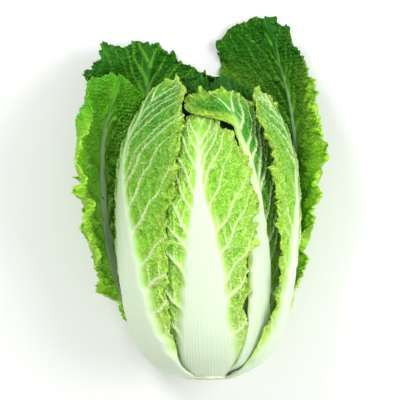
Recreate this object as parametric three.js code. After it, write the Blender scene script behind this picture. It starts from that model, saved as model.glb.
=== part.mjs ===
// A head of napa cabbage, lying on its broadest outer leaf: a cut stem with twenty-six separate leaves.
// Every leaf is a thin closed shell, laid over the leaves inside it as it is on the plant.
// Millimetres and degrees. +Y runs from the cut stem to the leaf tips, +Z is up, Z = 0 is the table.
import * as THREE from "three";

// Driving dimensions.
const HEAD_RADIUS = 85.5; // widest part of the closed head
const HEAD_LENGTH = 280; // from the leaf roots to where the closed head would end
const OPEN_LENGTH = 323; // how far a leaf reaches that stays open behind the head
const STEM_RADIUS = 22;
const STEM_HEIGHT = 25;
const STEM_STUB = 2; // how far the cut stem stands out below the leaf roots

// Leaf stock.
const BLADE_SHARE = 0.45; // how much of its room in the head a leaf's blade fills, the rest being air
const RIB_SHARE = 0.24; // how much more of it the midrib fills, at its root
const LEAN = 0.8; // how much more room a leaf has over its own midrib than on the far side
const OPEN_ROOM = 3.5; // room for each leaf that lies outside the closed head
const SHOULDER = 0.13; // how much lower a leaf's side margins end than its tip, unless it has its own

// The open leaves spread away from the head, from none at one azimuth to the full size at another.
// rise is the share of it at even stations from root to tip.
const LEFT_SPREAD = {
  size: 31,
  none: 215,
  full: 160,
  rise: [0, 0.03, 0.1, 0.22, 0.42, 0.62, 0.85, 0.95, 0.66, 0.5, 0.4],
};
const RIGHT_SPREAD = {
  size: 17,
  none: -20,
  full: 15,
  rise: [0, 0, 0.05, 0.15, 0.3, 0.55, 0.95, 0.68, 0, -0.25, -0.3],
};

// The outer leaves press flat on the table under the weight of the head.
const FLATTEN_FROM = 45; // depth below the head's axis where flattening starts
const FLATTEN_TO = 105;
const FLATTEN_SLOPE = 0.5; // how steeply depth still grows at FLATTEN_TO
const TABLE_DEPTH = 88.2; // depth of the table below the axis

// Outlines of the head, as [radius, height] stations evenly spaced along a leaf.
// HEART is where the innermost leaf starts, CLOSED the outside of the closed head, and OPEN the line of
// a leaf that stays open.
const R = HEAD_RADIUS;
const L = HEAD_LENGTH;
const CLOSED = [
  [STEM_RADIUS + 2, 1],
  [0.6 * R, 0.053 * L],
  [0.82 * R, 0.148 * L],
  [0.94 * R, 0.282 * L],
  [R, 0.44 * L],
  [R, 0.59 * L],
  [0.93 * R, 0.74 * L],
  [0.75 * R, 0.856 * L],
  [0.51 * R, 0.944 * L],
  [0.26 * R, L],
];
const HEART = [
  [4, 26],
  [6, 38],
  [8, 58],
  [9, 88],
  [9, 125],
  [9, 160],
  [8, 195],
  [6, 222],
  [4, 240],
  [2, 252],
];
const OPEN = [
  ...CLOSED.slice(0, 6),
  [1.01 * R, 0.652 * OPEN_LENGTH],
  [1.02 * R, 0.77 * OPEN_LENGTH],
  [1.0 * R, 0.886 * OPEN_LENGTH],
  [0.95 * R, OPEN_LENGTH],
];

// The leaves from the outside in. reach is the tip's place along the outline. azimuth is the midrib's
// place round the head, 90 being up, at five even stations from root to tip. left and right are the
// angles from midrib to margin at the same stations, left being the way azimuth grows. stock is how
// thick the leaf is beside the tender heart leaves.
const OUTER_LEAVES = [
  {
    name: "back_leaf",
    open: true,
    reach: 0.83,
    azimuth: [272, 271, 271, 272, 272],
    left: [26, 42, 50, 50, 34],
    right: [26, 42, 50, 50, 34],
    stock: 1.8,
  },
  {
    name: "tall_left_leaf",
    open: true,
    reach: 0.93,
    azimuth: [222, 221, 226, 234, 236],
    left: [26, 44, 50, 44, 26],
    right: [8, 14, 32, 52, 46],
    stock: 1,
    shoulder: 0.1,
  },
  {
    name: "tall_right_leaf",
    open: true,
    reach: 1,
    azimuth: [326, 334, 340, 329, 308],
    left: [2, 8, 22, 38, 20],
    right: [26, 44, 52, 49, 37],
    stock: 1,
    shoulder: 0.07,
  },
  {
    name: "side_left_leaf",
    open: true,
    reach: 0.845,
    azimuth: [222, 210, 195, 194, 208],
    left: [24, 38, 44, 40, 26],
    right: [4, 6, 29, 35, 38],
    stock: 1,
    shoulder: 0.09,
  },
  {
    name: "right_wrapper_leaf",
    reach: 0.86,
    azimuth: [21, 22, 19, 9, 26],
    left: [18, 20, 20, 37, 30],
    right: [44, 50, 50, 46, 26],
    stock: 1.3,
  },
  {
    name: "left_wrapper_leaf",
    reach: 0.91,
    azimuth: [139, 147, 155, 164, 140],
    left: [46, 50, 50, 42, 26],
    right: [20, 28, 40, 56, 26],
    stock: 1.3,
    shoulder: 0.06,
  },
  {
    name: "front_wrapper_leaf",
    reach: 0.8,
    azimuth: [90, 91, 93, 96, 97],
    left: [34, 42, 44, 40, 22],
    right: [46, 46, 40, 35, 36, 43, 39, 28, 14],
    stock: 1.2,
  },
  {
    name: "front_right_wrapper_leaf",
    reach: 0.86,
    azimuth: [34, 41, 47, 56, 74],
    left: [14, 12, 10, 5, 4],
    right: [24, 34, 36, 36, 28],
    stock: 1.2,
    shoulder: 0.04,
    flap: 40, // a lobe near the tip that laps to the left over the tip of the front leaf
  },
];
const FLAP_FROM = 0.72;
const FLAP_RISE = 0.06;
const SWAP = 0.05; // how quickly the two leaves change places there

// Leaves that lie wholly inside, placed round the head by the plant's own golden angle.
const GOLDEN_ANGLE = 137.508;
const INNER_COUNT = 8;
const HEART_COUNT = 10;
const INNER_START = 262;

function innerLeaves() {
  const leaves = [];
  for (let k = 0; k < INNER_COUNT + HEART_COUNT; k++) {
    const heart = k >= INNER_COUNT;
    const turn = (INNER_START + GOLDEN_ANGLE * k) % 360;
    const width = heart ? [50, 70, 84, 84, 60] : [36, 50, 60, 60, 42];
    leaves.push({
      name: heart ? `heart_leaf_${k - INNER_COUNT + 1}` : `inner_leaf_${k + 1}`,
      reach: 0.965 + 0.02 * Math.sin(3 * k),
      azimuth: [turn - 6, turn - 3, turn, turn + 3, turn + 6],
      left: width,
      right: width,
      stock: heart ? 0.8 : 1.1,
      heart,
    });
  }
  return leaves;
}

const LEAVES = [...OUTER_LEAVES, ...innerLeaves()];

function clamp01(x) {
  return Math.min(1, Math.max(0, x));
}

function smooth(x) {
  const t = clamp01(x);
  return t * t * (3 - 2 * t);
}

// The value at share s of the way along evenly spaced values, on a smooth curve through them.
function along(values, s) {
  const last = values.length - 1;
  const at = clamp01(s) * last;
  const i = Math.min(last - 1, Math.floor(at));
  const t = at - i;
  const p1 = values[i];
  const p2 = values[i + 1];
  const p0 = i > 0 ? values[i - 1] : 2 * p1 - p2;
  const p3 = i + 2 <= last ? values[i + 2] : 2 * p2 - p1;
  const bend = 2 * p0 - 5 * p1 + 4 * p2 - p3;
  const twist = 3 * (p1 - p2) + p3 - p0;
  return p1 + 0.5 * t * (p2 - p0 + t * (bend + t * twist));
}

function stationAt(outline, v) {
  return [0, 1].map((k) => along(outline.map((station) => station[k]), v));
}

function roomAt(v) {
  const outer = stationAt(CLOSED, v);
  const inner = stationAt(HEART, v);
  return Math.hypot(outer[0] - inner[0], outer[1] - inner[1]);
}

function angleBetween(a, b) {
  return ((((a - b) % 360) + 540) % 360) - 180;
}

// Angle from the midrib to the margin on one side, at height v.
function widthAt(leaf, side, v) {
  const width = along(leaf[side], v / leaf.reach);
  const flap = side === "left" ? (leaf.flap ?? 0) : 0;
  return width + flap * smooth((v - FLAP_FROM) / FLAP_RISE);
}

// How much the midrib thickens a leaf, from 1 on its middle at the root to 0.
function ribAt(leaf, turn, width, v) {
  const share = v / leaf.reach;
  const half = width * (0.12 + 0.7 * (1 - smooth(share / 0.75)));
  return (1 - smooth(Math.abs(turn) / half)) * (1 - smooth(share / 0.9));
}

// Room that a leaf takes up, at an azimuth, of all the room between heart and outside.
function claimOf(leaf, azimuth) {
  const own = THREE.MathUtils.degToRad(azimuth - along(leaf.azimuth, 0.5));
  return leaf.stock * (leaf.open ? OPEN_ROOM : 1) * (1 + LEAN * Math.cos(own));
}

// The flap of the front right leaf lies outside the front leaf, although the rest of it lies inside.
function insideShare(inner, outer, v) {
  const lapping = smooth((v - FLAP_FROM) / SWAP + 0.5);
  if (inner.flap && outer.name === "front_wrapper_leaf") return 1 - lapping;
  if (outer.flap && inner.name === "front_wrapper_leaf") return lapping;
  return LEAVES.indexOf(inner) > LEAVES.indexOf(outer) ? 1 : 0;
}

function spreadAt(azimuth, v) {
  const turn = angleBetween(azimuth - 90, 0) + 90;
  const { size, none, full, rise } = turn > 90 ? LEFT_SPREAD : RIGHT_SPREAD;
  return size * smooth((turn - none) / (full - none)) * along(rise, v);
}

// The distances from the heart outline to a leaf's inner face and to the next leaf out.
function layerOf(leaf, azimuth, v) {
  let total = 0;
  let inside = 0;
  let open = 0;
  for (const other of LEAVES) {
    const claim = claimOf(other, azimuth);
    if (!other.open) total += claim;
    if (other === leaf) continue;
    const share = insideShare(other, leaf, v) * claim;
    if (other.open) open += share;
    else inside += share;
  }
  const unit = roomAt(v) / total;
  if (!leaf.open) return [unit * inside, unit * claimOf(leaf, azimuth)];
  const start = roomAt(v) + open * smooth(v / 0.2 + 0.15);
  return [start, claimOf(leaf, azimuth) * smooth(v / 0.2 + 0.15)];
}

// Depth below the axis, once the leaves that the head lies on are pressed flat.
function flattened(depth) {
  if (depth < FLATTEN_FROM) return depth;
  const over = depth - FLATTEN_FROM;
  const bend = (1 - FLATTEN_SLOPE) / (2 * (FLATTEN_TO - FLATTEN_FROM));
  return Math.min(depth - bend * over * over, TABLE_DEPTH);
}

// The point at an azimuth and height v that is a distance out from the heart outline.
function placeOf(leaf, azimuth, v, distance) {
  const outer = stationAt(leaf.open ? OPEN : CLOSED, v);
  const heart = stationAt(HEART, v);
  const span = Math.hypot(outer[0] - heart[0], outer[1] - heart[1]);
  const out = distance - roomAt(v);
  const radius = outer[0] + (out * (outer[0] - heart[0])) / span;
  const height = outer[1] + (out * (outer[1] - heart[1])) / span;
  const away = radius + (leaf.open ? spreadAt(azimuth, v) : 0);
  const turn = THREE.MathUtils.degToRad(azimuth);
  return [away * Math.cos(turn), height, -flattened(-away * Math.sin(turn))];
}

// A leaf as one closed shell: a grid of points on its inner face, another on its outer face, and a rim.
function leafGeometry(leaf, rows, columns) {
  const inner = [];
  const outer = [];
  for (let i = 0; i <= rows; i++)
    for (let j = 0; j <= columns; j++) {
      const b = (2 * j) / columns - 1;
      const a = i / rows;
      const drop = leaf.shoulder ?? SHOULDER;
      const v = leaf.reach * a * (1 - drop * b * b * a * a);
      const width = widthAt(leaf, b >= 0 ? "left" : "right", v);
      const turn = b * width;
      const azimuth = along(leaf.azimuth, v / leaf.reach) + turn;
      const [under, room] = layerOf(leaf, azimuth, v);
      const thick = room * (BLADE_SHARE + RIB_SHARE * ribAt(leaf, turn, width, v));
      inner.push(...placeOf(leaf, azimuth, v, under));
      outer.push(...placeOf(leaf, azimuth, v, under + thick));
    }
  const across = columns + 1;
  const half = across * (rows + 1);
  const faces = [];
  const quad = (p, q, r, s) => faces.push(p, q, r, p, r, s);
  for (let i = 0; i < rows; i++)
    for (let j = 0; j < columns; j++) {
      const p = i * across + j;
      quad(p, p + 1, p + 1 + across, p + across);
      const q = p + half;
      quad(q, q + across, q + 1 + across, q + 1);
    }
  const wall = (p, q) => quad(q, p, p + half, q + half);
  for (let j = 0; j < columns; j++) {
    wall(j, j + 1);
    wall(rows * across + j + 1, rows * across + j);
  }
  for (let i = 0; i < rows; i++) {
    wall((i + 1) * across, i * across);
    wall(i * across + columns, (i + 1) * across + columns);
  }
  const geometry = new THREE.BufferGeometry();
  const points = new THREE.Float32BufferAttribute([...inner, ...outer], 3);
  geometry.setAttribute("position", points);
  geometry.setIndex(faces);
  geometry.computeVertexNormals();
  return geometry;
}

// The short cone that every leaf grows from, cut off flat below the roots.
function stemGeometry() {
  const profile = [
    new THREE.Vector2(0, -STEM_STUB),
    new THREE.Vector2(0.9 * STEM_RADIUS, -STEM_STUB),
    new THREE.Vector2(STEM_RADIUS, 0.6),
    new THREE.Vector2(0.45 * STEM_RADIUS, 0.55 * STEM_HEIGHT),
    new THREE.Vector2(0, STEM_HEIGHT),
  ];
  return new THREE.LatheGeometry(profile, 32);
}

const OUTSIDE = new THREE.MeshStandardMaterial({ color: 0x2f7d1c, roughness: 0.55 });
const WRAPPER = new THREE.MeshStandardMaterial({ color: 0x9bd45a, roughness: 0.5 });
const HEART_LEAF = new THREE.MeshStandardMaterial({ color: 0xd6e68a, roughness: 0.5 });
const STEM = new THREE.MeshStandardMaterial({ color: 0xeef3dc, roughness: 0.45 });

const head = new THREE.Group();

const stem = new THREE.Mesh(stemGeometry(), STEM);
stem.name = "stem";
head.add(stem);

for (const leaf of LEAVES) {
  const [rows, columns] = leaf.heart ? [10, 8] : leaf.flap ? [28, 16] : [13, 10];
  const material = leaf.open ? OUTSIDE : leaf.heart ? HEART_LEAF : WRAPPER;
  const mesh = new THREE.Mesh(leafGeometry(leaf, rows, columns), material.clone());
  mesh.name = leaf.name;
  head.add(mesh);
}

// The origin is on the table, under the middle of the whole head.
const box = new THREE.Box3().setFromObject(head);
const centre = box.getCenter(new THREE.Vector3());
head.position.set(-centre.x, -centre.y, -box.min.z);

export default head;
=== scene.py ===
"""The looks of a napa cabbage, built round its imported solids: veined, crinkled and frilled leaves.

Sizes in the leaf tables are millimetres and degrees, as in the solids' source, and everything that is
put in the scene is metres. +Y runs from the cut stem to the leaf tips and +Z is up.
"""

import math
from types import SimpleNamespace

import bpy
import numpy as np
from bpy.props import FloatProperty, FloatVectorProperty, PointerProperty
from bpy.types import Operator, Panel, PropertyGroup
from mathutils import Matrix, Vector


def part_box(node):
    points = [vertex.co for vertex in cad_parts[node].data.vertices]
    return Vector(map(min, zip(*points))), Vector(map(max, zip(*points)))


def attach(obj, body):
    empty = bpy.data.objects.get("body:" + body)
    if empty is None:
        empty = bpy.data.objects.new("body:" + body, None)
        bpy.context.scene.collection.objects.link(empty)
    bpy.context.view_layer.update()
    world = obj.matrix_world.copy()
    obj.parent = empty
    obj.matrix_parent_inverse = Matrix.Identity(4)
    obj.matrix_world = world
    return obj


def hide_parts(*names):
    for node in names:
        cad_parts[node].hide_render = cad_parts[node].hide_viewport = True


bl_info = {
    "name": "Napa Cabbage",
    "version": (1, 0, 0),
    "blender": (4, 5, 0),
    "location": "3D View > Sidebar > Napa",
    "description": "Builds the veined and frilled leaves of a napa cabbage",
    "category": "Object",
}

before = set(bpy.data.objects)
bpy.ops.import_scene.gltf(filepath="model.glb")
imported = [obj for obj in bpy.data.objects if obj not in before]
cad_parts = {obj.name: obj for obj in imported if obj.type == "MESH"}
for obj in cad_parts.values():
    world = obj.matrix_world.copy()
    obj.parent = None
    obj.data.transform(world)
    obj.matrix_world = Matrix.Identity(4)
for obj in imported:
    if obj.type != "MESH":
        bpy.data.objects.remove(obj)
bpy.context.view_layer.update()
STEM_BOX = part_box("stem")
MM = 0.001
FLOOR_GAP = 0.3 * MM  # the lowest that a leaf may lie above the table


# --------------------------------------------------------------------------- the head's outline
HEAD_RADIUS = 85.5  # widest part of the closed head
HEAD_LENGTH = 280  # from the leaf roots to where the closed head would end
OPEN_LENGTH = 323  # how far a leaf reaches that stays open behind the head
STEM_RADIUS = 22
STEM_STUB = 2  # how far the cut stem stands out below the leaf roots

BLADE_SHARE = 0.45  # how much of its room in the head a leaf's blade fills
RIB_SHARE = 0.24  # how much more of it the midrib fills, at its root
LEAN = 0.8  # how much more room a leaf has over its own midrib than on the far side
OPEN_ROOM = 3.5  # room for each leaf that lies outside the closed head
SHOULDER = 0.13  # how much lower a leaf's side margins end than its tip, unless it has its own
FLAP_FROM = 0.72  # where up the leaf its lapped lobe starts
FLAP_RISE = 0.06
SWAP = 0.05  # how quickly the two leaves change places there

# The open leaves spread away from the head, from none at one azimuth to the full size at another.
# rise is the share of it at even stations from root to tip.
LEFT_SPREAD = dict(
    size=31, none=215, full=160,
    rise=[0, 0.03, 0.1, 0.22, 0.42, 0.62, 0.85, 0.95, 0.66, 0.5, 0.4],
)
RIGHT_SPREAD = dict(
    size=17, none=-20, full=15,
    rise=[0, 0, 0.05, 0.15, 0.3, 0.55, 0.95, 0.68, 0, -0.25, -0.3],
)

# The outer leaves press flat on the table under the weight of the head.
FLATTEN_FROM = 45  # depth below the head's axis where flattening starts
FLATTEN_TO = 105
FLATTEN_SLOPE = 0.5  # how steeply depth still grows at FLATTEN_TO
TABLE_DEPTH = 88.2  # depth of the table below the axis

# Outlines of the head, as [radius, height] stations evenly spaced along a leaf. HEART is where the
# innermost leaf starts, CLOSED the outside of the closed head, and OPEN the line of a leaf that stays open.
R = HEAD_RADIUS
L = HEAD_LENGTH
CLOSED = np.array([
    [STEM_RADIUS + 2, 1],
    [0.6 * R, 0.053 * L],
    [0.82 * R, 0.148 * L],
    [0.94 * R, 0.282 * L],
    [R, 0.44 * L],
    [R, 0.59 * L],
    [0.93 * R, 0.74 * L],
    [0.75 * R, 0.856 * L],
    [0.51 * R, 0.944 * L],
    [0.26 * R, L],
])
HEART = np.array([
    [4, 26],
    [6, 38],
    [8, 58],
    [9, 88],
    [9, 125],
    [9, 160],
    [8, 195],
    [6, 222],
    [4, 240],
    [2, 252],
])
OPEN = np.vstack([
    CLOSED[:6],
    [1.01 * R, 0.652 * OPEN_LENGTH],
    [1.02 * R, 0.77 * OPEN_LENGTH],
    [1.0 * R, 0.886 * OPEN_LENGTH],
    [0.95 * R, OPEN_LENGTH],
])

# The leaves from the outside in. name to shoulder, with flap, are as in the solids' source. rib is the
# midrib's half width at even stations from root to tip, bulge how far it stands out, frill how far the
# margin waves, pitch how far apart its waves are, crinkle how far the blade swells, drape how far the
# margin stands off, sweep how much further its veins lean out, and deepen how dark a green its tip is.
LEAVES = [
    dict(
        name="back_leaf", open=True, reach=0.83, stock=1.8,
        azimuth=[272, 271, 271, 272, 272],
        left=[26, 42, 50, 50, 34], right=[26, 42, 50, 50, 34],
        rib=[20, 17, 13, 8, 4, 2], frill=3.5, pitch=19, crinkle=1.6, look="outer",
    ),
    dict(
        name="tall_left_leaf", open=True, reach=0.93, stock=1, shoulder=0.1,
        azimuth=[222, 221, 226, 234, 236],
        left=[26, 44, 50, 44, 26], right=[8, 14, 32, 52, 46],
        rib=[18, 13, 7, 3.2, 1.6, 0.9], frill=5, pitch=19, crinkle=3.2, look="outer",
    ),
    dict(
        name="tall_right_leaf", open=True, reach=1, stock=1, shoulder=0.07,
        azimuth=[326, 334, 340, 329, 308],
        left=[2, 8, 22, 38, 20], right=[26, 44, 52, 49, 37],
        rib=[18, 13, 7, 3.2, 1.6, 0.9], frill=5, pitch=18, crinkle=3.2, look="outer",
    ),
    dict(
        name="side_left_leaf", open=True, reach=0.845, stock=1, shoulder=0.09,
        azimuth=[222, 210, 195, 194, 208],
        left=[24, 38, 44, 40, 26], right=[4, 6, 29, 35, 38],
        # This leaf's low deepen paints it paler than the other open leaves: painted light for a leaf that
        # lies in the head's shade.
        rib=[18, 13, 7, 3.4, 1.6, 0.9], frill=4.5, pitch=16, crinkle=2.8, deepen=0.52,
        look="outer",
    ),
    dict(
        name="right_wrapper_leaf", reach=0.86, stock=1.3,
        azimuth=[21, 22, 19, 9, 26],
        left=[18, 20, 20, 37, 30], right=[44, 50, 50, 46, 26],
        rib=[14, 15, 12, 7, 3, 1.2], bulge=2, frill=3.2, pitch=13, crinkle=2.3, deepen=0.9,
        look="wrapper",
    ),
    dict(
        name="left_wrapper_leaf", reach=0.91, stock=1.3, shoulder=0.06,
        azimuth=[139, 147, 155, 164, 140],
        left=[46, 50, 50, 42, 26], right=[20, 28, 40, 56, 26],
        rib=[20, 22, 23, 22, 20, 17, 12, 6, 3, 1.6, 1], bulge=5, frill=3.6, pitch=13, crinkle=2.2,
        deepen=0.97, sweep=12, drape=-0.2, look="wrapper",
    ),
    dict(
        name="front_wrapper_leaf", reach=0.8, stock=1.2,
        azimuth=[90, 91, 93, 96, 97],
        left=[34, 42, 44, 40, 22], right=[46, 46, 40, 35, 36, 43, 39, 28, 14],
        rib=[26, 29, 28, 24, 21, 17, 12, 4.5, 2.4, 1.6, 1], bulge=1.5, frill=3.2, pitch=12, crinkle=1.9,
        deepen=0.62, drape=-0.5, look="wrapper",
    ),
    dict(
        name="front_right_wrapper_leaf", reach=0.86, stock=1.2, flap=40, shoulder=0.04,
        azimuth=[34, 41, 47, 56, 74],
        left=[14, 12, 10, 5, 4], right=[24, 34, 36, 36, 28],
        rib=[13, 16, 15, 10, 4, 1.4], bulge=7, frill=3.2, pitch=12, crinkle=2.4, deepen=1.2,
        look="wrapper",
    ),
]

# Leaves that lie wholly inside, placed round the head by the plant's own golden angle.
GOLDEN_ANGLE = 137.508
INNER_COUNT = 8
HEART_COUNT = 10
INNER_START = 262


def inner_leaves():
    leaves = []
    for k in range(INNER_COUNT + HEART_COUNT):
        heart = k >= INNER_COUNT
        turn = (INNER_START + GOLDEN_ANGLE * k) % 360
        width = [50, 70, 84, 84, 60] if heart else [36, 50, 60, 60, 42]
        leaves.append(dict(
            name=f"heart_leaf_{k - INNER_COUNT + 1}" if heart else f"inner_leaf_{k + 1}",
            reach=0.965 + 0.02 * math.sin(3 * k),
            azimuth=[turn - 6, turn - 3, turn, turn + 3, turn + 6],
            left=width, right=width,
            stock=0.8 if heart else 1.1,
            rib=[10, 8, 5, 3, 1.5, 0.8] if heart else [16, 13, 9, 5, 2, 1],
            frill=1.6 if heart else 3.6, pitch=10 if heart else 13, crinkle=0.9 if heart else 2.2,
            look="heart" if heart else "inner",
        ))
    return leaves


LEAVES += inner_leaves()


def smooth(x):
    t = np.clip(x, 0, 1)
    return t * t * (3 - 2 * t)


def along(values, share):
    """The value at a share of the way along evenly spaced values, on a smooth curve through them."""
    v = np.asarray(values, float)
    v = np.concatenate([[2 * v[0] - v[1]], v, [2 * v[-1] - v[-2]]])
    at = np.clip(share, 0, 1.08) * (len(v) - 3)
    i = np.minimum(np.floor(at).astype(int), len(v) - 4)
    t = at - i
    p0, p1, p2, p3 = v[i], v[i + 1], v[i + 2], v[i + 3]
    bend = 2 * p0 - 5 * p1 + 4 * p2 - p3
    twist = 3 * (p1 - p2) + p3 - p0
    return p1 + 0.5 * t * (p2 - p0 + t * (bend + t * twist))


def angle_between(a, b):
    return (a - b + 180) % 360 - 180


def station(outline, v):
    return along(outline[:, 0], v), along(outline[:, 1], v)


def room_at(v):
    outer, inner = station(CLOSED, v), station(HEART, v)
    return np.hypot(outer[0] - inner[0], outer[1] - inner[1])


def width_at(leaf, side, v):
    """The angle from the midrib to the margin on one side, at height v."""
    width = along(leaf[side], v / leaf["reach"])
    if side == "left" and leaf.get("flap"):
        width = width + leaf["flap"] * smooth((v - FLAP_FROM) / FLAP_RISE)
    return width


def claim_of(leaf, azimuth):
    """The room that a leaf takes up, at an azimuth, of all the room between heart and outside."""
    own = np.radians(azimuth - along(leaf["azimuth"], 0.5))
    return leaf["stock"] * (OPEN_ROOM if leaf.get("open") else 1) * (1 + LEAN * np.cos(own))


def inside_share(inner, outer, v):
    """1 where one leaf lies inside another, 0 where it lies outside.

    The lapped lobe lies outside the front leaf, although the rest of its leaf lies inside.
    """
    lapping = smooth((v - FLAP_FROM) / SWAP + 0.5)
    if inner.get("flap") and outer["name"] == "front_wrapper_leaf":
        return 1 - lapping
    if outer.get("flap") and inner["name"] == "front_wrapper_leaf":
        return lapping
    return 1.0 if LEAVES.index(inner) > LEAVES.index(outer) else 0.0


def spread_at(azimuth, v):
    """How far the open leaves spread away from the head there."""
    turn = angle_between(azimuth - 90, 0) + 90
    out = np.zeros_like(turn)
    for spread, side in ((LEFT_SPREAD, turn > 90), (RIGHT_SPREAD, turn <= 90)):
        share = smooth((turn - spread["none"]) / (spread["full"] - spread["none"]))
        out = np.where(side, spread["size"] * share * along(spread["rise"], v), out)
    return out


def layer_of(leaf, azimuth, v):
    """The distance from the heart outline to a leaf's inner face, and the room that the leaf has."""
    total = inside = opened = 0
    for other in LEAVES:
        claim = claim_of(other, azimuth)
        if not other.get("open"):
            total = total + claim
        if other is leaf:
            continue
        share = inside_share(other, leaf, v) * claim
        if other.get("open"):
            opened = opened + share
        else:
            inside = inside + share
    own = claim_of(leaf, azimuth)
    if not leaf.get("open"):
        unit = room_at(v) / total
        return unit * inside, unit * own
    start = smooth(v / 0.2 + 0.15)
    return room_at(v) + opened * start, own * start


def flattened(depth):
    """Depth below the axis, once the leaves that the head lies on are pressed flat."""
    over = np.maximum(depth - FLATTEN_FROM, 0)
    bend = (1 - FLATTEN_SLOPE) / (2 * (FLATTEN_TO - FLATTEN_FROM))
    return depth - bend * over * over


def place_of(leaf, azimuth, v, distance, sink):
    """Points in metres in the frame, from azimuth, height v and distance from the heart outline."""
    outer = station(OPEN if leaf.get("open") else CLOSED, v)
    heart = station(HEART, v)
    span = np.hypot(outer[0] - heart[0], outer[1] - heart[1])
    out = distance - room_at(v)
    radius = outer[0] + out * (outer[0] - heart[0]) / span
    height = outer[1] + out * (outer[1] - heart[1]) / span
    if leaf.get("open"):
        radius = radius + spread_at(azimuth, v)
    turn = np.radians(azimuth)
    x = radius * np.cos(turn) * MM + (STEM_BOX[0][0] + STEM_BOX[1][0]) / 2
    y = np.maximum(height + sink + STEM_STUB, 0.6) * MM + STEM_BOX[0][1]
    z = TABLE_DEPTH * MM - flattened(-radius * np.sin(turn)) * MM
    return np.stack([x, y, np.maximum(z, FLOOR_GAP)], axis=-1)


# --------------------------------------------------------------------------- noise
def lattice(i, j, seed):
    """A random number from 0 to 1 for each pair of whole numbers, always the same for the same seed."""
    n = (i * 73856093) ^ (j * 19349663) ^ (seed * 83492791)
    n = (n & 0xFFFFFFFF) ^ ((n & 0xFFFFFFFF) >> 13)
    n = (n * 1274126177) & 0xFFFFFFFF
    return ((n ^ (n >> 16)) & 0xFFFF) / 65535.0


def noise(x, y, seed):
    """Smooth random hills, -1 to 1, one unit across."""
    i, j = np.floor(x).astype(np.int64), np.floor(y).astype(np.int64)
    s, t = smooth(x - i), smooth(y - j)
    low = lattice(i, j, seed) * (1 - s) + lattice(i + 1, j, seed) * s
    high = lattice(i, j + 1, seed) * (1 - s) + lattice(i + 1, j + 1, seed) * s
    return 2 * (low * (1 - t) + high * t) - 1


def cells(x, y, seed):
    """Distances to the nearest and the second nearest of scattered points, one unit apart."""
    i0, j0 = np.floor(x).astype(np.int64), np.floor(y).astype(np.int64)
    first = np.full(x.shape, 9.0)
    second = np.full(x.shape, 9.0)
    for di in (-1, 0, 1):
        for dj in (-1, 0, 1):
            i, j = i0 + di, j0 + dj
            px = i + 0.15 + 0.7 * lattice(i, j, seed)
            py = j + 0.15 + 0.7 * lattice(i, j, seed + 7)
            d = np.hypot(x - px, y - py)
            second = np.minimum(second, np.maximum(first, d))
            first = np.minimum(first, d)
    return first, second


# --------------------------------------------------------------------------- veins
VEIN_STEP = 1.0
VEIN_SPACING = 21.0
VEIN_LEAN = 58  # degrees from the midrib to a vein near the root
VEIN_LEAN_LOSS = 26  # how much less it is towards the tip
VEIN_REACH = 9  # how far along the leaf a vein is looked for from a point
POINTS_AT_ONCE = 1500


def grow_vein(out, half_width, length, side, start, heading, size, reach, rng, branches):
    """Adds one vein's points to out as (across, along, half width of the vein)."""
    u, s = start
    steps = max(3, int(reach / VEIN_STEP))
    next_branch = rng.uniform(6, 12)
    turn = rng.choice((-1, 1))
    sway = rng.uniform(0, 6)
    for k in range(steps):
        # It leaves steeply, bends away to its own heading, and then slowly back up the leaf.
        gone = k * VEIN_STEP
        aim = heading * (1 - 0.55 * math.exp(-gone / 7)) - 0.003 * gone + 0.22 * math.sin(gone / 6 + sway)
        u += side * math.sin(aim) * VEIN_STEP
        s += math.cos(aim) * VEIN_STEP
        if half_width(s, side) - abs(u) < 0.5 or s > length - 1 or u * side < 0:
            break
        size_here = size * (1 - 0.8 * (k / steps) ** 0.5)
        out.append((u, s, size_here))
        if branches and gone > next_branch:
            next_branch += rng.uniform(5, 10)
            turn = -turn
            grow_vein(out, half_width, length, side, (u, s), aim + turn * rng.uniform(0.6, 0.95),
                      max(0.5, 0.8 * size_here), rng.uniform(12, 30), rng, branches - 1)


def grow_veins(leaf, length, half_width, rng):
    """All of a leaf's veins beside its midrib."""
    out = []
    for side in (-1, 1):
        s = 0.12 * length + rng.uniform(0, VEIN_SPACING)
        while s < 0.95 * length:
            share = s / length
            lean = VEIN_LEAN - VEIN_LEAN_LOSS * float(smooth(share / 0.75)) + leaf.get("sweep", 0)
            heading = math.radians(lean + rng.uniform(-4, 4))
            rib = float(along(leaf["rib"], share))
            width = float(half_width(s, side))
            size = (3.4 - 2.2 * share) * rng.uniform(0.75, 1.15) * (0.4 + 0.6 * min(1, width / 40))
            grow_vein(out, half_width, length, side, (side * 0.75 * rib, s), heading, size,
                      1.6 * width + 10, rng, 2)
            s += VEIN_SPACING * (1.15 - 0.35 * share) * rng.uniform(0.65, 1.35)
    return np.array(out)


def vein_field(points, veins):
    """How much each point lies on a vein, that vein's half width, and the distance to a vein."""
    on = np.zeros(len(points))
    size = np.zeros(len(points))
    away = np.full(len(points), 99.0)
    for start in range(0, len(points), POINTS_AT_ONCE):
        some = slice(start, start + POINTS_AT_ONCE)
        p = points[some]
        close = veins[np.abs(veins[:, 1] - p[:, 1].mean()) < VEIN_REACH + np.ptp(p[:, 1]) / 2]
        if not len(close):
            continue
        d = (p[:, :1] - close[:, 0]) ** 2 + (p[:, 1:] - close[:, 1]) ** 2
        away[some] = np.sqrt(d.min(1))
        d /= close[:, 2] ** 2
        near = d.argmin(1)
        on[some] = np.exp(-d[np.arange(len(p)), near])
        size[some] = close[near, 2]
    return on, size, away


# --------------------------------------------------------------------------- leaf meshes
OPEN_ROOT_TUCK = 6  # how far an open leaf's margins draw in near its root
WRAPPER_ROOT_SINK = 3.5  # how far a wrapper leaf's root reaches down past the stem's shoulder


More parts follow.
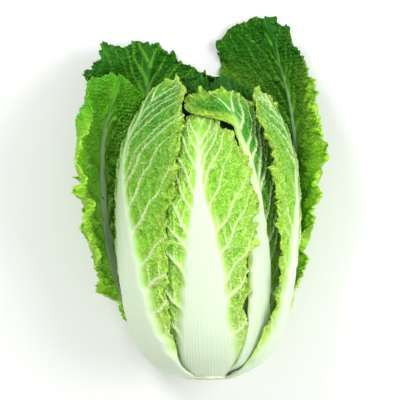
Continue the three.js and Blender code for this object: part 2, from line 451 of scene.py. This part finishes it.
def leaf_grid(leaf, rows, columns):
    """A leaf's grid points: azimuth, height v, and millimetres from its midrib, root and margin."""
    a = np.linspace(0, 1, rows + 1)[:, None]
    even = np.linspace(-1, 1, columns + 1)[None, :]
    b = 0.7 * even + 0.3 * np.sin(even * math.pi / 2)
    drop = leaf.get("shoulder", SHOULDER)
    v = leaf["reach"] * a * (1 - drop * b * b * a * a)
    turn = b * np.where(b >= 0, width_at(leaf, "left", v), width_at(leaf, "right", v))
    outline = OPEN if leaf.get("open") else CLOSED
    radius = station(outline, v)[0] * (1 if leaf["look"] in ("outer", "wrapper") else 0.6)
    middle = station(outline, leaf["reach"] * a[:, 0])
    lengths = np.concatenate([[0], np.cumsum(np.hypot(np.diff(middle[0]), np.diff(middle[1])))])

    g = SimpleNamespace(v=v, radius=radius, side=np.sign(b + 0 * a))
    g.azimuth = along(leaf["azimuth"], v / leaf["reach"]) + turn
    g.across = np.radians(turn) * radius
    g.down = np.interp(v, leaf["reach"] * a[:, 0], lengths)
    g.length = g.down[-1].max()
    g.share = np.clip(g.down / g.length, 0, 1)
    g.left_edge = g.across[:, -1]
    g.right_edge = -g.across[:, 0]
    g.from_side = np.where(g.side >= 0, g.left_edge[:, None] - g.across, g.across + g.right_edge[:, None])
    g.from_tip = (1 - (a + 0 * b)) * g.length
    # The distance in from the margin rounds the corner between side and tip.
    near_side = np.exp(-np.clip(g.from_side, 0, 200) / 6)
    near_tip = np.exp(-np.clip(g.from_tip, 0, 200) / 6)
    g.inset = np.maximum(-6 * np.log(near_side + near_tip), 0)
    # This runs along the margin and round the tip.
    g.way = g.down + 0.9 * g.from_side
    return g


def leaf_veins(leaf, g, rng):
    """How much each grid point lies on a vein, the vein's half width, and the distance to a vein."""
    heights = g.down[:, g.down.shape[1] // 2]

    def half_width(at, side):
        return np.interp(at, heights, g.left_edge if side > 0 else g.right_edge)

    veins = grow_veins(leaf, g.length, half_width, rng)
    points = np.stack([g.across.ravel(), g.down.ravel()], axis=1)
    return (f.reshape(g.across.shape) for f in vein_field(points, veins))


def leaf_rib(leaf, g, seed):
    """The midrib's half width, how much each point lies on it, and how much on the blade beside it."""
    half = along(leaf["rib"], g.share)
    ragged = half * (1 + 0.12 * noise(g.down / 9, np.sign(g.across), seed + 3))
    rib = 1 - smooth((np.abs(g.across) - 0.78 * ragged) / (0.4 * ragged + 0.5))
    rib = rib * (1 - smooth((g.share - 0.72) / 0.26))
    blade = smooth((np.abs(g.across) - ragged) / 9) * smooth((g.share - 0.05) / 0.3)
    return half, rib, blade


def leaf_crinkle(g, away, seed):
    """How far the blade swells in between the veins, its finer puckers, and its broad waves."""
    u, s = g.across, g.down
    bent = 0.5 * noise(u / 9, s / 9, seed + 23)
    near, second = cells(u / 6.2 + bent, s / 7.5 - bent, seed + 1)
    swell = (1 - np.exp(-((away / 2.4) ** 2))) * (0.45 + 0.55 * smooth((second - near) / 0.7))
    fine = cells(u / 3.1 + bent, s / 3.4, seed + 5)
    pucker = smooth((fine[1] - fine[0]) / 0.8)
    waves = noise(u / 34, s / 42, seed + 9) + 0.6 * noise(u / 15, s / 18, seed + 11)
    return swell, pucker, waves


def leaf_frill(leaf, g, rib_half, shape, seed):
    """The margin's frill: it is longer than the leaf behind it, so it waves, curls and is lobed."""
    way, side, inset, pitch = g.way, g.side, g.inset, leaf["pitch"]
    size = leaf["frill"] * shape.frill_height * smooth((g.share - 0.12) / 0.25)
    size = size * smooth((g.from_side + np.abs(g.across) - rib_half) / 9)
    size = size * (0.8 + 0.6 * noise(way / 21, side, seed + 13))
    loose = np.exp(-inset / (2.2 * leaf["frill"] + 2))
    tight = np.exp(-inset / (1.1 * leaf["frill"] + 1.5))

    lift = noise(way / (0.7 * pitch), side + inset / 25, seed + 15)
    if leaf.get("open"):
        # Only the sides of an open leaf are tightly frilled. Its tip waves broadly.
        sides = 1 - smooth((g.share - 0.6) / 0.2)
        broad = noise(way / (1.3 * pitch), side + inset / 25, seed + 35)
        lift = 2.2 * sides * lift + 1.5 * (1 - sides) * broad
    curls = np.abs(noise(way / (0.45 * pitch), side + inset / 8, seed + 16))
    curls = curls + 0.3 * np.abs(noise(way / (0.22 * pitch), side + inset / 5, seed + 26))
    lift = 1.4 * loose * lift + (0.8 if leaf.get("open") else 1.5) * tight * (curls - 0.4)
    if leaf["look"] == "wrapper":
        lift = lift + leaf.get("drape", 0.5) * loose

    # Rounded lobes with sharp notches between them, larger in clumps on a wrapper leaf.
    lobe = 0.9 * np.abs(noise(way / 11, side, seed + 19)) + 0.45 * np.abs(noise(way / 5, side, seed + 17))
    lobe = lobe + 0.15 * np.abs(noise(way / 2.4, side, seed + 20)) - 0.4
    clump = smooth(0.5 + 0.9 * noise(way / 14, side, seed + 33))
    lobe = (1.4 + 1.6 * clump if leaf["look"] == "wrapper" else 1) * size * tight * lobe

    slide = size * tight * 0.3 * noise(way / (0.4 * pitch) + 40, side + inset / 12, seed + 18)
    sway = size * tight * 0.4 * noise(way / (0.35 * pitch) + 9, side + inset / 8, seed + 22)
    return SimpleNamespace(size=size, loose=loose, tight=tight, lift=size * lift, curls=curls, clump=clump,
                           lobe=lobe, slide=slide, sway=sway)


def leaf_fields(leaf, g, rib, blade, on, size, crinkle, frill):
    """The fields that the leaf's material reads, each from 0 to about 1."""
    swell, pucker, waves = crinkle
    opened = leaf.get("open")
    young = 1 - smooth((g.share - 0.72) / 0.2) if opened else 1
    above_root = smooth((g.share - 0.05) / 0.2)
    fringe_width = leaf["frill"] * (7.5 if opened else 4)
    # The margin's own paler colour, brightened on the curls that stand out by a painted highlight.
    rim = np.exp(-g.inset / (4 + 4 * frill.clump)) * np.clip(0.35 + 1.3 * frill.curls, 0, 1.2)
    # Painted shade in the frill's folds, where its curls turn in.
    fold_shade = frill.tight * smooth((0.38 - frill.curls) / 0.3) * smooth(frill.size / 2)
    # Painted shade in the hollows between the veins and under the frill's curls.
    hollow_shade = 0.6 * swell + 0.4 * pucker + 1.2 * frill.tight * (0.4 - frill.curls)
    return dict(
        rib=rib,
        vein=np.clip(on * smooth(size / 1.1) * 1.35, 0, 1),
        blade=blade * (1 - 0.8 * on),
        tone=np.clip(g.share * leaf.get("deepen", 1) + 0.04 * waves, 0, 1),
        rim=rim * above_root * young,
        fringe=np.exp(-((g.inset / fringe_width) ** 2)) * above_root * young,
        fold_shade=fold_shade * smooth((g.share - 0.1) / 0.2) * young,
        hollow_shade=blade * np.clip(hollow_shade, 0, 1.4),
    )


def shape_leaf(leaf, rows, columns, shape, seed):
    """A leaf's two faces as grids of points in metres, its fields, and its grid."""
    rng = np.random.default_rng(seed)
    g = leaf_grid(leaf, rows, columns)
    on, size, away = leaf_veins(leaf, g, rng)
    rib_half, rib, blade = leaf_rib(leaf, g, seed)
    swell, pucker, waves = crinkle = leaf_crinkle(g, away, seed)
    frill = leaf_frill(leaf, g, rib_half, shape, seed)

    # The blade swells between its veins, towards the heart, and the veins stand out.
    depth = blade * leaf["crinkle"] * shape.crinkle_height
    relief = depth * (1.0 - 1.7 * swell - 0.6 * pucker + 0.8 * waves)
    relief += 0.7 * shape.vein_height * on * size * (1 - rib) * smooth(g.share / 0.2)

    # The margin moves out and in over the blade, and along itself.
    tuck = OPEN_ROOT_TUCK * (1 - smooth((g.share - 0.2) / 0.15)) if leaf.get("open") else 0
    push = (frill.lobe + frill.sway - 0.8 * frill.size * frill.loose - tuck) * np.exp(-g.from_side / 10)
    azimuth = g.azimuth + np.degrees(push * g.side / np.maximum(g.radius, 12))
    tipness = np.exp(-g.from_tip / 12)
    beyond = 1.6 if leaf["look"] == "inner" else -0.8
    climb = frill.slide * (1 - tipness) + (1.2 * frill.lobe + beyond * frill.size) * tipness
    v = g.v + climb * leaf["reach"] / g.length * smooth(g.share / 0.2)

    under, room = layer_of(leaf, g.azimuth, g.v)
    body = room * (BLADE_SHARE + (RIB_SHARE + 0.12) * rib * (1 - smooth(g.share / 0.95)))
    ridges = np.sin(g.across * 2.1 + 2 * noise(g.across / 4, g.down / 60, seed + 21))
    ridges = 0.12 * ridges * rib * smooth(rib_half / 6)
    bulge = leaf.get("bulge", 0.5) * rib * smooth(g.share / 0.1) * (1 - g.share)
    outside = under + body + relief + frill.lift + ridges + bulge
    thick = shape.blade_thickness / MM + rib * (0.75 * body) * (1 - g.share)
    sink = -WRAPPER_ROOT_SINK * (1 - smooth(g.share / 0.12)) if leaf["look"] == "wrapper" else 0
    outer = place_of(leaf, azimuth, v, outside, sink)
    inner = place_of(leaf, azimuth, v, outside - thick, sink)
    return outer, inner, leaf_fields(leaf, g, rib, blade, on, size, crinkle, frill), g


def shell_object(name, outer, inner, fields, g):
    """One closed mesh from a leaf's two faces, with its fields as point attributes."""
    rows, columns = outer.shape[0] - 1, outer.shape[1] - 1
    wide = columns + 1
    half = wide * (rows + 1)
    i, j = np.meshgrid(np.arange(rows), np.arange(columns), indexing="ij")
    p = (i * wide + j).ravel()
    quads = [np.stack([p, p + 1, p + 1 + wide, p + wide], 1)]
    q = p + half
    quads.append(np.stack([q, q + wide, q + 1 + wide, q + 1], 1))

    def wall(m, n):
        quads.append(np.stack([n, m, m + half, n + half], 1))

    j = np.arange(columns)
    wall(j, j + 1)
    wall(rows * wide + j + 1, rows * wide + j)
    i = np.arange(rows)
    wall((i + 1) * wide, i * wide)
    wall(i * wide + columns, (i + 1) * wide + columns)
    faces = np.concatenate(quads)
    points = np.concatenate([inner.reshape(-1, 3), outer.reshape(-1, 3)])
    mesh = bpy.data.meshes.new(name)
    mesh.from_pydata(points.tolist(), [], faces.tolist())
    for key, values in fields.items():
        attribute = mesh.attributes.new(key, "FLOAT", "POINT")
        attribute.data.foreach_set("value", np.tile(values.ravel(), 2).astype(np.float32))
    corner = np.empty(len(mesh.loops), dtype=np.int32)
    mesh.loops.foreach_get("vertex_index", corner)
    flat = np.stack([np.tile(g.across.ravel(), 2), np.tile(g.down.ravel(), 2)], 1)[corner] * MM
    layer = mesh.uv_layers.new(name="Leaf")
    layer.data.foreach_set("uv", flat.astype(np.float32).ravel())
    mesh.shade_smooth()
    mesh.update()
    leaf = bpy.data.objects.new(name, mesh)
    bpy.context.scene.collection.objects.link(leaf)
    return leaf


# --------------------------------------------------------------------------- materials
# What the blade's green is multiplied by: its own colour in its deeper patches, and painted shade in the
# hollows where it swells inwards and in the net's sunken cells.
PATCH_TINT = (0.45, 0.72, 0.25)
HOLLOW_SHADE_TINT = (0.6, 0.88, 0.3)
CELL_SHADE_TINT = (0.42, 0.78, 0.18)
FOLD_SHADE_GREEN = "2f6a14"  # painted shade, the dark green in the frill's deep folds


def linear(code):
    """The linear colour of an sRGB hex code."""
    parts = [int(code[k:k + 2], 16) / 255 for k in (0, 2, 4)]
    return tuple(c / 12.92 if c <= 0.04045 else ((c + 0.055) / 1.055) ** 2.4 for c in parts)


def add_node(tree, kind, settings=None, inputs=None):
    """Adds a node with its settings, and each input set to a value or linked from a socket."""
    node = tree.nodes.new(kind)
    for key, value in (settings or {}).items():
        setattr(node, key, value)
    for key, value in (inputs or {}).items():
        if isinstance(value, bpy.types.NodeSocket):
            tree.links.new(value, node.inputs[key])
        else:
            node.inputs[key].default_value = value
    return node


def leaf_relief(tree, sunk, place):
    """Bump of the net's sunken cells over a fine grain."""
    # Fine grain of the leaf skin, about 1 mm, drawn coarser than the real cells so that it shows.
    grain = add_node(tree, "ShaderNodeTexNoise", None, {"Vector": place, "Scale": 900.0, "Detail": 2.0})
    bump = add_node(tree, "ShaderNodeBump", None, {
        "Strength": 0.18, "Distance": 0.0004, "Height": grain.outputs[0],
    })
    return add_node(tree, "ShaderNodeBump", {"invert": True}, {
        "Strength": 0.9, "Distance": 0.0013, "Height": sunk, "Normal": bump.outputs[0],
    })


def leaf_material(name, shades, rib_colour, vein_colour, rim_colour, roughness, fringe):
    """Living leaf with a wax bloom: soft gloss, light inside, paler veins and margins.

    shades are the blade's greens from root to tip, and fringe is how much younger its margin looks.
    """
    material = bpy.data.materials.new(name)
    material.use_nodes = True
    tree = material.node_tree
    tree.nodes.clear()
    place = add_node(tree, "ShaderNodeUVMap", {"uv_map": "Leaf"}).outputs[0]
    cover = {}
    for key in ("tone", "blade", "hollow_shade", "fringe", "rim", "fold_shade", "vein", "rib"):
        cover[key] = add_node(tree, "ShaderNodeAttribute", {"attribute_name": key}).outputs["Fac"]

    ramp = add_node(tree, "ShaderNodeValToRGB", None, {0: cover["tone"]})
    stops = ramp.color_ramp.elements
    for k, (at, shade) in enumerate(shades):
        stop = stops[k] if k < 2 else stops.new(at)
        stop.position = at
        stop.color = (*shade, 1)
    # The midrib is white at the root and takes the veins' colour towards the tip.
    fade = add_node(tree, "ShaderNodeMapRange", None, {
        "Value": cover["tone"], "From Min": 0.55, "From Max": 1.0,
    }).outputs[0]
    midrib = add_node(tree, "ShaderNodeMix", {"data_type": "RGBA"}, {
        0: fade, 6: (*rib_colour, 1), 7: (*vein_colour, 1),
    }).outputs[2]

    # Patches of deeper and paler green about 12 mm across.
    patches = add_node(tree, "ShaderNodeTexNoise", None, {"Vector": place, "Scale": 80.0, "Detail": 3.0})
    cover["patch"] = patches.outputs[0]
    # The net of small veins: cells 5 to 6 mm wide, bent out of shape, with raised pale edges.
    bent = add_node(tree, "ShaderNodeMix", {"data_type": "RGBA", "blend_type": "LINEAR_LIGHT"}, {
        0: 0.012, 6: place, 7: patches.outputs["Color"],
    }).outputs[2]
    net = add_node(tree, "ShaderNodeTexVoronoi", {"feature": "DISTANCE_TO_EDGE"}, {
        "Vector": bent, "Scale": 200.0,
    })
    cell = add_node(tree, "ShaderNodeMapRange", {"interpolation_type": "SMOOTHSTEP"}, {
        "Value": net.outputs["Distance"], "From Min": 0.02, "From Max": 0.24,
    }).outputs[0]
    # The cells sink in the bump, and their darker green over the blade is painted shade in those sunken
    # middles.
    cover["cell"] = add_node(tree, "ShaderNodeMath", {"operation": "MULTIPLY"}, {
        0: cell, 1: cover["blade"],
    }).outputs[0]
    cover["net"] = add_node(tree, "ShaderNodeMath", {"operation": "SUBTRACT"}, {
        0: cover["blade"], 1: cover["cell"],
    }).outputs[0]

    # What lies over the blade's own green, from the bottom up: where, how strongly, its colour and blend.
    colour = ramp.outputs[0]
    for key, strength, tint, blend in (
        ("patch", 0.35, PATCH_TINT, "MULTIPLY"),
        # painted shade in the hollows
        ("hollow_shade", 0.45, HOLLOW_SHADE_TINT, "MULTIPLY"),
        # painted shade in the sunken cells
        ("cell", 0.5, CELL_SHADE_TINT, "MULTIPLY"),
        ("fringe", fringe, rim_colour, "MIX"),
        ("net", 0.1, vein_colour, "MIX"),
        # the margin's paler colour, with a painted highlight on its raised curls
        ("rim", 0.8, rim_colour, "MIX"),
        # painted shade in the frill's folds
        ("fold_shade", 0.75, linear(FOLD_SHADE_GREEN), "MIX"),
        ("vein", 0.85, vein_colour, "MIX"),
    ):
        share = add_node(tree, "ShaderNodeMath", {"operation": "MULTIPLY", "use_clamp": True}, {
            0: cover[key], 1: strength,
        }).outputs[0]
        colour = add_node(tree, "ShaderNodeMix", {"data_type": "RGBA", "blend_type": blend}, {
            0: share, 6: colour, 7: (*tint, 1),
        }).outputs[2]
    colour = add_node(tree, "ShaderNodeMix", {"data_type": "RGBA"}, {
        0: cover["rib"], 6: colour, 7: midrib,
    }).outputs[2]

    # The bloom is duller in the deeper patches.
    shine = add_node(tree, "ShaderNodeMath", {"operation": "MULTIPLY_ADD"}, {
        0: patches.outputs[0], 1: 0.22, 2: roughness - 0.1,
    }).outputs[0]
    shader = add_node(tree, "ShaderNodeBsdfPrincipled", None, {
        "Base Color": colour,
        "Roughness": shine,
        "IOR": 1.4,
        "Specular IOR Level": 0.22,
        "Subsurface Weight": 0.25,
        "Subsurface Radius": (0.8, 1.0, 0.2),
        "Subsurface Scale": 0.002,
        "Normal": leaf_relief(tree, cover["cell"], place).outputs[0],
    })
    add_node(tree, "ShaderNodeOutputMaterial", None, {"Surface": shader.outputs[0]})
    return material


def cut_stem_material():
    """Cut stem flesh: moist and cream white, a little browner where it has dried at the rim."""
    material = bpy.data.materials.new("Cut cabbage stem")
    material.use_nodes = True
    tree = material.node_tree
    tree.nodes.clear()
    place = add_node(tree, "ShaderNodeTexCoord").outputs["Object"]
    # Fibre ends in the flesh, about 2 mm apart.
    fibres = add_node(tree, "ShaderNodeTexVoronoi", None, {"Vector": place, "Scale": 500.0})
    share = add_node(tree, "ShaderNodeMath", {"operation": "MULTIPLY"}, {0: fibres.outputs[0], 1: 0.5})
    flesh = add_node(tree, "ShaderNodeMix", {"data_type": "RGBA"}, {
        0: share.outputs[0], 6: (*linear("dde9c6"), 1), 7: (*linear("edf5e0"), 1),
    })
    dried = add_node(tree, "ShaderNodeAttribute", {"attribute_name": "dried"})
    colour = add_node(tree, "ShaderNodeMix", {"data_type": "RGBA"}, {
        0: dried.outputs["Fac"], 6: flesh.outputs[2], 7: (*linear("d9cfa4"), 1),
    })
    bump = add_node(tree, "ShaderNodeBump", None, {
        "Strength": 0.3, "Distance": 0.0005, "Height": fibres.outputs[0],
    })
    shader = add_node(tree, "ShaderNodeBsdfPrincipled", None, {
        "Base Color": colour.outputs[2],
        "Roughness": 0.42,
        "IOR": 1.4,
        "Subsurface Weight": 0.15,
        "Subsurface Radius": (1.0, 0.9, 0.6),
        "Subsurface Scale": 0.003,
        "Normal": bump.outputs[0],
    })
    add_node(tree, "ShaderNodeOutputMaterial", None, {"Surface": shader.outputs[0]})
    return material


def table_material():
    """Matt white paint on board: no gloss, only the faintest unevenness of tone."""
    material = bpy.data.materials.new("Matt white paint")
    material.use_nodes = True
    tree = material.node_tree
    tree.nodes.clear()
    place = add_node(tree, "ShaderNodeTexCoord").outputs["Object"]
    cloud = add_node(tree, "ShaderNodeTexNoise", None, {"Vector": place, "Scale": 3.0})
    colour = add_node(tree, "ShaderNodeMix", {"data_type": "RGBA"}, {
        0: cloud.outputs[0], 6: (*linear("f6f6f6"), 1), 7: (*linear("fbfbfb"), 1),
    })
    shader = add_node(tree, "ShaderNodeBsdfPrincipled", None, {
        "Base Color": colour.outputs[2],
        "Roughness": 0.9,
    })
    add_node(tree, "ShaderNodeOutputMaterial", None, {"Surface": shader.outputs[0]})
    return material


# --------------------------------------------------------------------------- settings
def size_setting(name, text, default, high):
    return FloatProperty(name=name, description=text, default=default, min=0, max=high, unit="LENGTH")


def height_setting(name, text):
    return FloatProperty(name=name, description=text, default=1.0, min=0, max=2, subtype="FACTOR")


def power_setting(name, text, default):
    return FloatProperty(name=name, description=text, default=default, min=0, max=100, unit="POWER")


def colour_setting(name, text, code):
    return FloatVectorProperty(
        name=name, description=text, default=linear(code), size=3, subtype="COLOR", min=0, max=1,
    )


class NapaShape(PropertyGroup):
    blade_thickness: size_setting("Blade thickness", "How thick a leaf is between veins", 1.1 * MM, 0.003)
    crinkle_height: height_setting("Crinkle height", "How strongly the blades swell between their veins")
    vein_height: height_setting("Vein height", "How far the veins stand up")
    frill_height: height_setting("Frill height", "How far the margins wave")


class NapaColours(PropertyGroup):
    outer_dark: colour_setting("Outer leaf", "The darkest green of the open leaves", "1a6c06")
    outer_middle: colour_setting("Outer leaf, middle", "The open leaves halfway up", "74ce28")
    outer_light: colour_setting("Outer leaf, low", "The open leaves towards their roots", "d6f094")
    outer_vein: colour_setting("Outer leaf, veins", "The veins of the open leaves", "6fb42c")
    outer_margin: colour_setting("Outer leaf, margin", "The young margins of the open leaves", "b4f044")
    wrapper: colour_setting("Wrapper", "The middle of the wrapper leaves", "b4f050")
    wrapper_low: colour_setting("Wrapper, low", "The wrapper leaves towards their roots", "c9ef80")
    wrapper_top: colour_setting("Wrapper, top", "The wrapper leaves towards their tips", "3ca012")
    # The inner leaves' dark tip green and dark veins are painted shade, for tips that lie deep in the head.
    inner_tip_shade: colour_setting("Inner leaf, top", "The inner leaves' tips", "0f4a06")
    inner_vein_shade: colour_setting("Inner leaf, veins", "The inner leaves' veins and margins", "2f7616")
    heart: colour_setting("Heart", "The tender heart leaves", "dfe88f")
    heart_low: colour_setting("Heart, low", "The heart leaves towards their roots", "eff2c4")
    heart_vein: colour_setting("Heart, veins", "The heart leaves' veins", "f2f6c8")
    rib: colour_setting("Midrib", "The white midribs", "dbeccf")
    vein: colour_setting("Veins", "The veins of the wrapper leaves", "e0f4b4")
    margin: colour_setting("Margin", "The frilled margins", "c2ea58")


class NapaStage(PropertyGroup):
    lens: FloatProperty(
        name="Lens", description="Focal length of the camera in millimetres", default=200, min=35, max=200,
    )
    camera_height: size_setting("Camera height", "Height of the camera above the table", 2.08, 4)
    key_power: power_setting("Key light", "Power of the soft light at the upper left", 8.8)
    fill_power: power_setting("Fill light", "Power of the larger soft light on the right", 11.5)
    room_light: FloatProperty(
        name="Room light", description="Strength of the light from all round", default=0.66, min=0, max=3,
    )


# --------------------------------------------------------------------------- operators
def build_leaves(context, look, rows, columns, material):
    """Builds every leaf of one look and puts each in the place of its solid."""
    shape = context.scene.napa_shape
    for k, leaf in enumerate(LEAVES):
        if leaf["look"] != look:
            continue
        outer, inner, fields, g = shape_leaf(leaf, rows, columns, shape, 101 + 31 * k)
        piece = shell_object("look_" + leaf["name"], outer, inner, fields, g)
        piece.data.materials.append(material)
        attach(piece, "root")
        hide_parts(leaf["name"])


STEM_AROUND = 96
CUT_RINGS = 26


def stem_rings():
    """The cut face, its worn edge and the cone inside the head, as shares of the radius and heights."""
    cut = [(t, -STEM_STUB + 0.5 * math.sin(9 * t) * (1 - t)) for t in np.linspace(0, 1, CUT_RINGS)]
    edge = [(1.02, -STEM_STUB + 0.8), (1.05, -0.6), (1.06, 0.4)]
    cone = [(0.5, 13.5), (0, 24.5)]
    return cut + edge + cone


def stem_mesh():
    """The stem's mesh, with a field that says how dried it is."""
    low, high = STEM_BOX
    middle = ((low[0] + high[0]) / 2, (low[2] + high[2]) / 2)
    rings = stem_rings()
    points, dried = [], []
    for share, y in rings:
        for k in range(STEM_AROUND):
            turn = 2 * math.pi * k / STEM_AROUND
            wobble = 1 + 0.03 * math.sin(5 * turn + 1) + 0.02 * math.sin(9 * turn)
            radius = 0.95 * STEM_RADIUS * share * wobble * MM
            rough = 0.25 * math.sin(13 * turn + 11 * share) * share * MM
            points.append((
                middle[0] + radius * math.cos(turn),
                low[1] + (y + STEM_STUB + 0.2) * MM + rough * (y < 0),
                middle[1] + radius * math.sin(turn),
            ))
            dried.append(max(0.0, min(1.0, (share - 0.8) * 5)) if y < 0.9 - STEM_STUB else 0.0)
    faces = []
    for p in range(0, (len(rings) - 1) * STEM_AROUND, STEM_AROUND):
        for k in range(STEM_AROUND):
            n = (k + 1) % STEM_AROUND
            faces.append((p + k, p + n, p + STEM_AROUND + n, p + STEM_AROUND + k))
    mesh = bpy.data.meshes.new("look_stem")
    mesh.from_pydata(points, [], faces)
    mesh.attributes.new("dried", "FLOAT", "POINT").data.foreach_set("value", dried)
    mesh.shade_smooth()
    return mesh


class NAPA_OT_stem(Operator):
    """Build the cut stem"""

    bl_idname = "napa.stem"
    bl_label = "Cut stem"

    def execute(self, context):
        stem = bpy.data.objects.new("look_stem", stem_mesh())
        context.scene.collection.objects.link(stem)
        stem.data.materials.append(cut_stem_material())
        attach(stem, "root")
        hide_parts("stem")
        return {"FINISHED"}


class NAPA_OT_outer_leaves(Operator):
    """Build the open outer leaves"""

    bl_idname = "napa.outer_leaves"
    bl_label = "Outer leaves"

    def execute(self, context):
        c = context.scene.napa_colours
        shades = [(0.0, c.rib), (0.2, c.outer_light), (0.45, c.outer_middle), (0.72, c.outer_dark)]
        material = leaf_material("Open outer leaf blade", shades, c.rib, c.outer_vein, c.outer_margin,
                                 0.45, 0.8)
        build_leaves(context, "outer", 320, 150, material)
        return {"FINISHED"}


class NAPA_OT_wrapper_leaves(Operator):
    """Build the wrapper leaves round the closed head"""

    bl_idname = "napa.wrapper_leaves"
    bl_label = "Wrapper leaves"

    def execute(self, context):
        c = context.scene.napa_colours
        shades = [(0.0, c.rib), (0.2, c.wrapper_low), (0.42, c.wrapper), (0.9, c.wrapper_top)]
        material = leaf_material("Wrapper leaf blade", shades, c.rib, c.vein, c.margin, 0.42, 0.3)
        build_leaves(context, "wrapper", 325, 150, material)
        return {"FINISHED"}


class NAPA_OT_inner_leaves(Operator):
    """Build the leaves whose tips show at the top of the head"""

    bl_idname = "napa.inner_leaves"
    bl_label = "Inner leaves"

    def execute(self, context):
        c = context.scene.napa_colours
        # The dark green towards the tips and the dark veins are painted shade.
        shades = [(0.0, c.rib), (0.3, c.heart), (0.5, c.wrapper), (0.7, c.inner_tip_shade)]
        material = leaf_material("Inner leaf blade", shades, c.rib, c.inner_vein_shade, c.inner_vein_shade, 0.45, 0.1)
        build_leaves(context, "inner", 190, 110, material)
        return {"FINISHED"}


class NAPA_OT_heart_leaves(Operator):
    """Build the tender leaves of the heart"""

    bl_idname = "napa.heart_leaves"
    bl_label = "Heart leaves"

    def execute(self, context):
        c = context.scene.napa_colours
        shades = [(0.0, c.rib), (0.3, c.heart_low), (0.7, c.heart), (0.97, c.wrapper)]
        material = leaf_material("Heart leaf blade", shades, c.rib, c.heart_vein, c.heart, 0.45, 0.2)
        build_leaves(context, "heart", 80, 60, material)
        return {"FINISHED"}


TABLE_REACH = 4  # metres from the middle of the table to its sides
HEAD_MIDDLE = (0, 0, 0.08)  # what the lights point at
KEY_PLACE = (-0.5, 0.75, 1.25)
KEY_SIZE = 0.45
FILL_PLACE = (1.0, 0.1, 1.1)
FILL_SIZE = 1.0
CAMERA_SHIFT = -0.0045  # the camera stands this far towards the stem, so that the head is centred


def soft_light(name, power, size, place):
    """A round soft light that points at the head."""
    data = bpy.data.lights.new(name, "AREA")
    data.energy = power
    data.shape = "DISK"
    data.size = size
    light = bpy.data.objects.new(name, data)
    light.location = place
    light.rotation_euler = (Vector(HEAD_MIDDLE) - Vector(place)).to_track_quat("-Z", "Y").to_euler()
    bpy.context.scene.collection.objects.link(light)


class NAPA_OT_stage(Operator):
    """Build the table, the lights and the camera"""

    bl_idname = "napa.stage"
    bl_label = "Stage"

    def execute(self, context):
        s = context.scene.napa_stage
        mesh = bpy.data.meshes.new("table")
        corners = [(x * TABLE_REACH, y * TABLE_REACH, 0) for x, y in ((-1, -1), (1, -1), (1, 1), (-1, 1))]
        mesh.from_pydata(corners, [], [(0, 1, 2, 3)])
        table = bpy.data.objects.new("table", mesh)
        context.scene.collection.objects.link(table)
        mesh.materials.append(table_material())

        soft_light("key light", s.key_power, KEY_SIZE, KEY_PLACE)
        soft_light("fill light", s.fill_power, FILL_SIZE, FILL_PLACE)
        world = bpy.data.worlds.new("room")
        world.use_nodes = True
        background = world.node_tree.nodes["Background"]
        background.inputs["Color"].default_value = (1, 1, 1, 1)
        background.inputs["Strength"].default_value = s.room_light
        context.scene.world = world
        context.scene.view_settings.view_transform = "Standard"

        data = bpy.data.cameras.new("camera")
        data.lens = s.lens
        data.clip_start = 0.01
        camera = bpy.data.objects.new("camera", data)
        camera.location = (0, CAMERA_SHIFT, s.camera_height)
        camera.rotation_euler = (0, 0, 0)
        context.scene.collection.objects.link(camera)
        context.scene.camera = camera
        return {"FINISHED"}


class NAPA_PT_panel(Panel):
    """The cabbage's pieces and settings"""

    bl_idname = "NAPA_PT_panel"
    bl_label = "Napa cabbage"
    bl_space_type = "VIEW_3D"
    bl_region_type = "UI"
    bl_category = "Napa"

    def draw(self, context):
        layout = self.layout
        for settings in ("napa_shape", "napa_colours", "napa_stage"):
            group = getattr(context.scene, settings)
            box = layout.box()
            for key in group.__annotations__:
                box.prop(group, key)
        for operator in PIECES:
            layout.operator(operator.bl_idname)


PIECES = (NAPA_OT_stem, NAPA_OT_outer_leaves, NAPA_OT_wrapper_leaves, NAPA_OT_inner_leaves,
          NAPA_OT_heart_leaves, NAPA_OT_stage)
SETTINGS = {"napa_shape": NapaShape, "napa_colours": NapaColours, "napa_stage": NapaStage}


def register():
    for group in (*SETTINGS.values(), *PIECES, NAPA_PT_panel):
        bpy.utils.register_class(group)
    for name, group in SETTINGS.items():
        setattr(bpy.types.Scene, name, PointerProperty(type=group))


def unregister():
    for name in SETTINGS:
        delattr(bpy.types.Scene, name)
    for group in reversed((*SETTINGS.values(), *PIECES, NAPA_PT_panel)):
        bpy.utils.unregister_class(group)


def main():
    register()
    bpy.ops.napa.stem()
    bpy.ops.napa.outer_leaves()
    bpy.ops.napa.wrapper_leaves()
    bpy.ops.napa.inner_leaves()
    bpy.ops.napa.heart_leaves()
    bpy.ops.napa.stage()


if __name__ == "__main__":
    main()
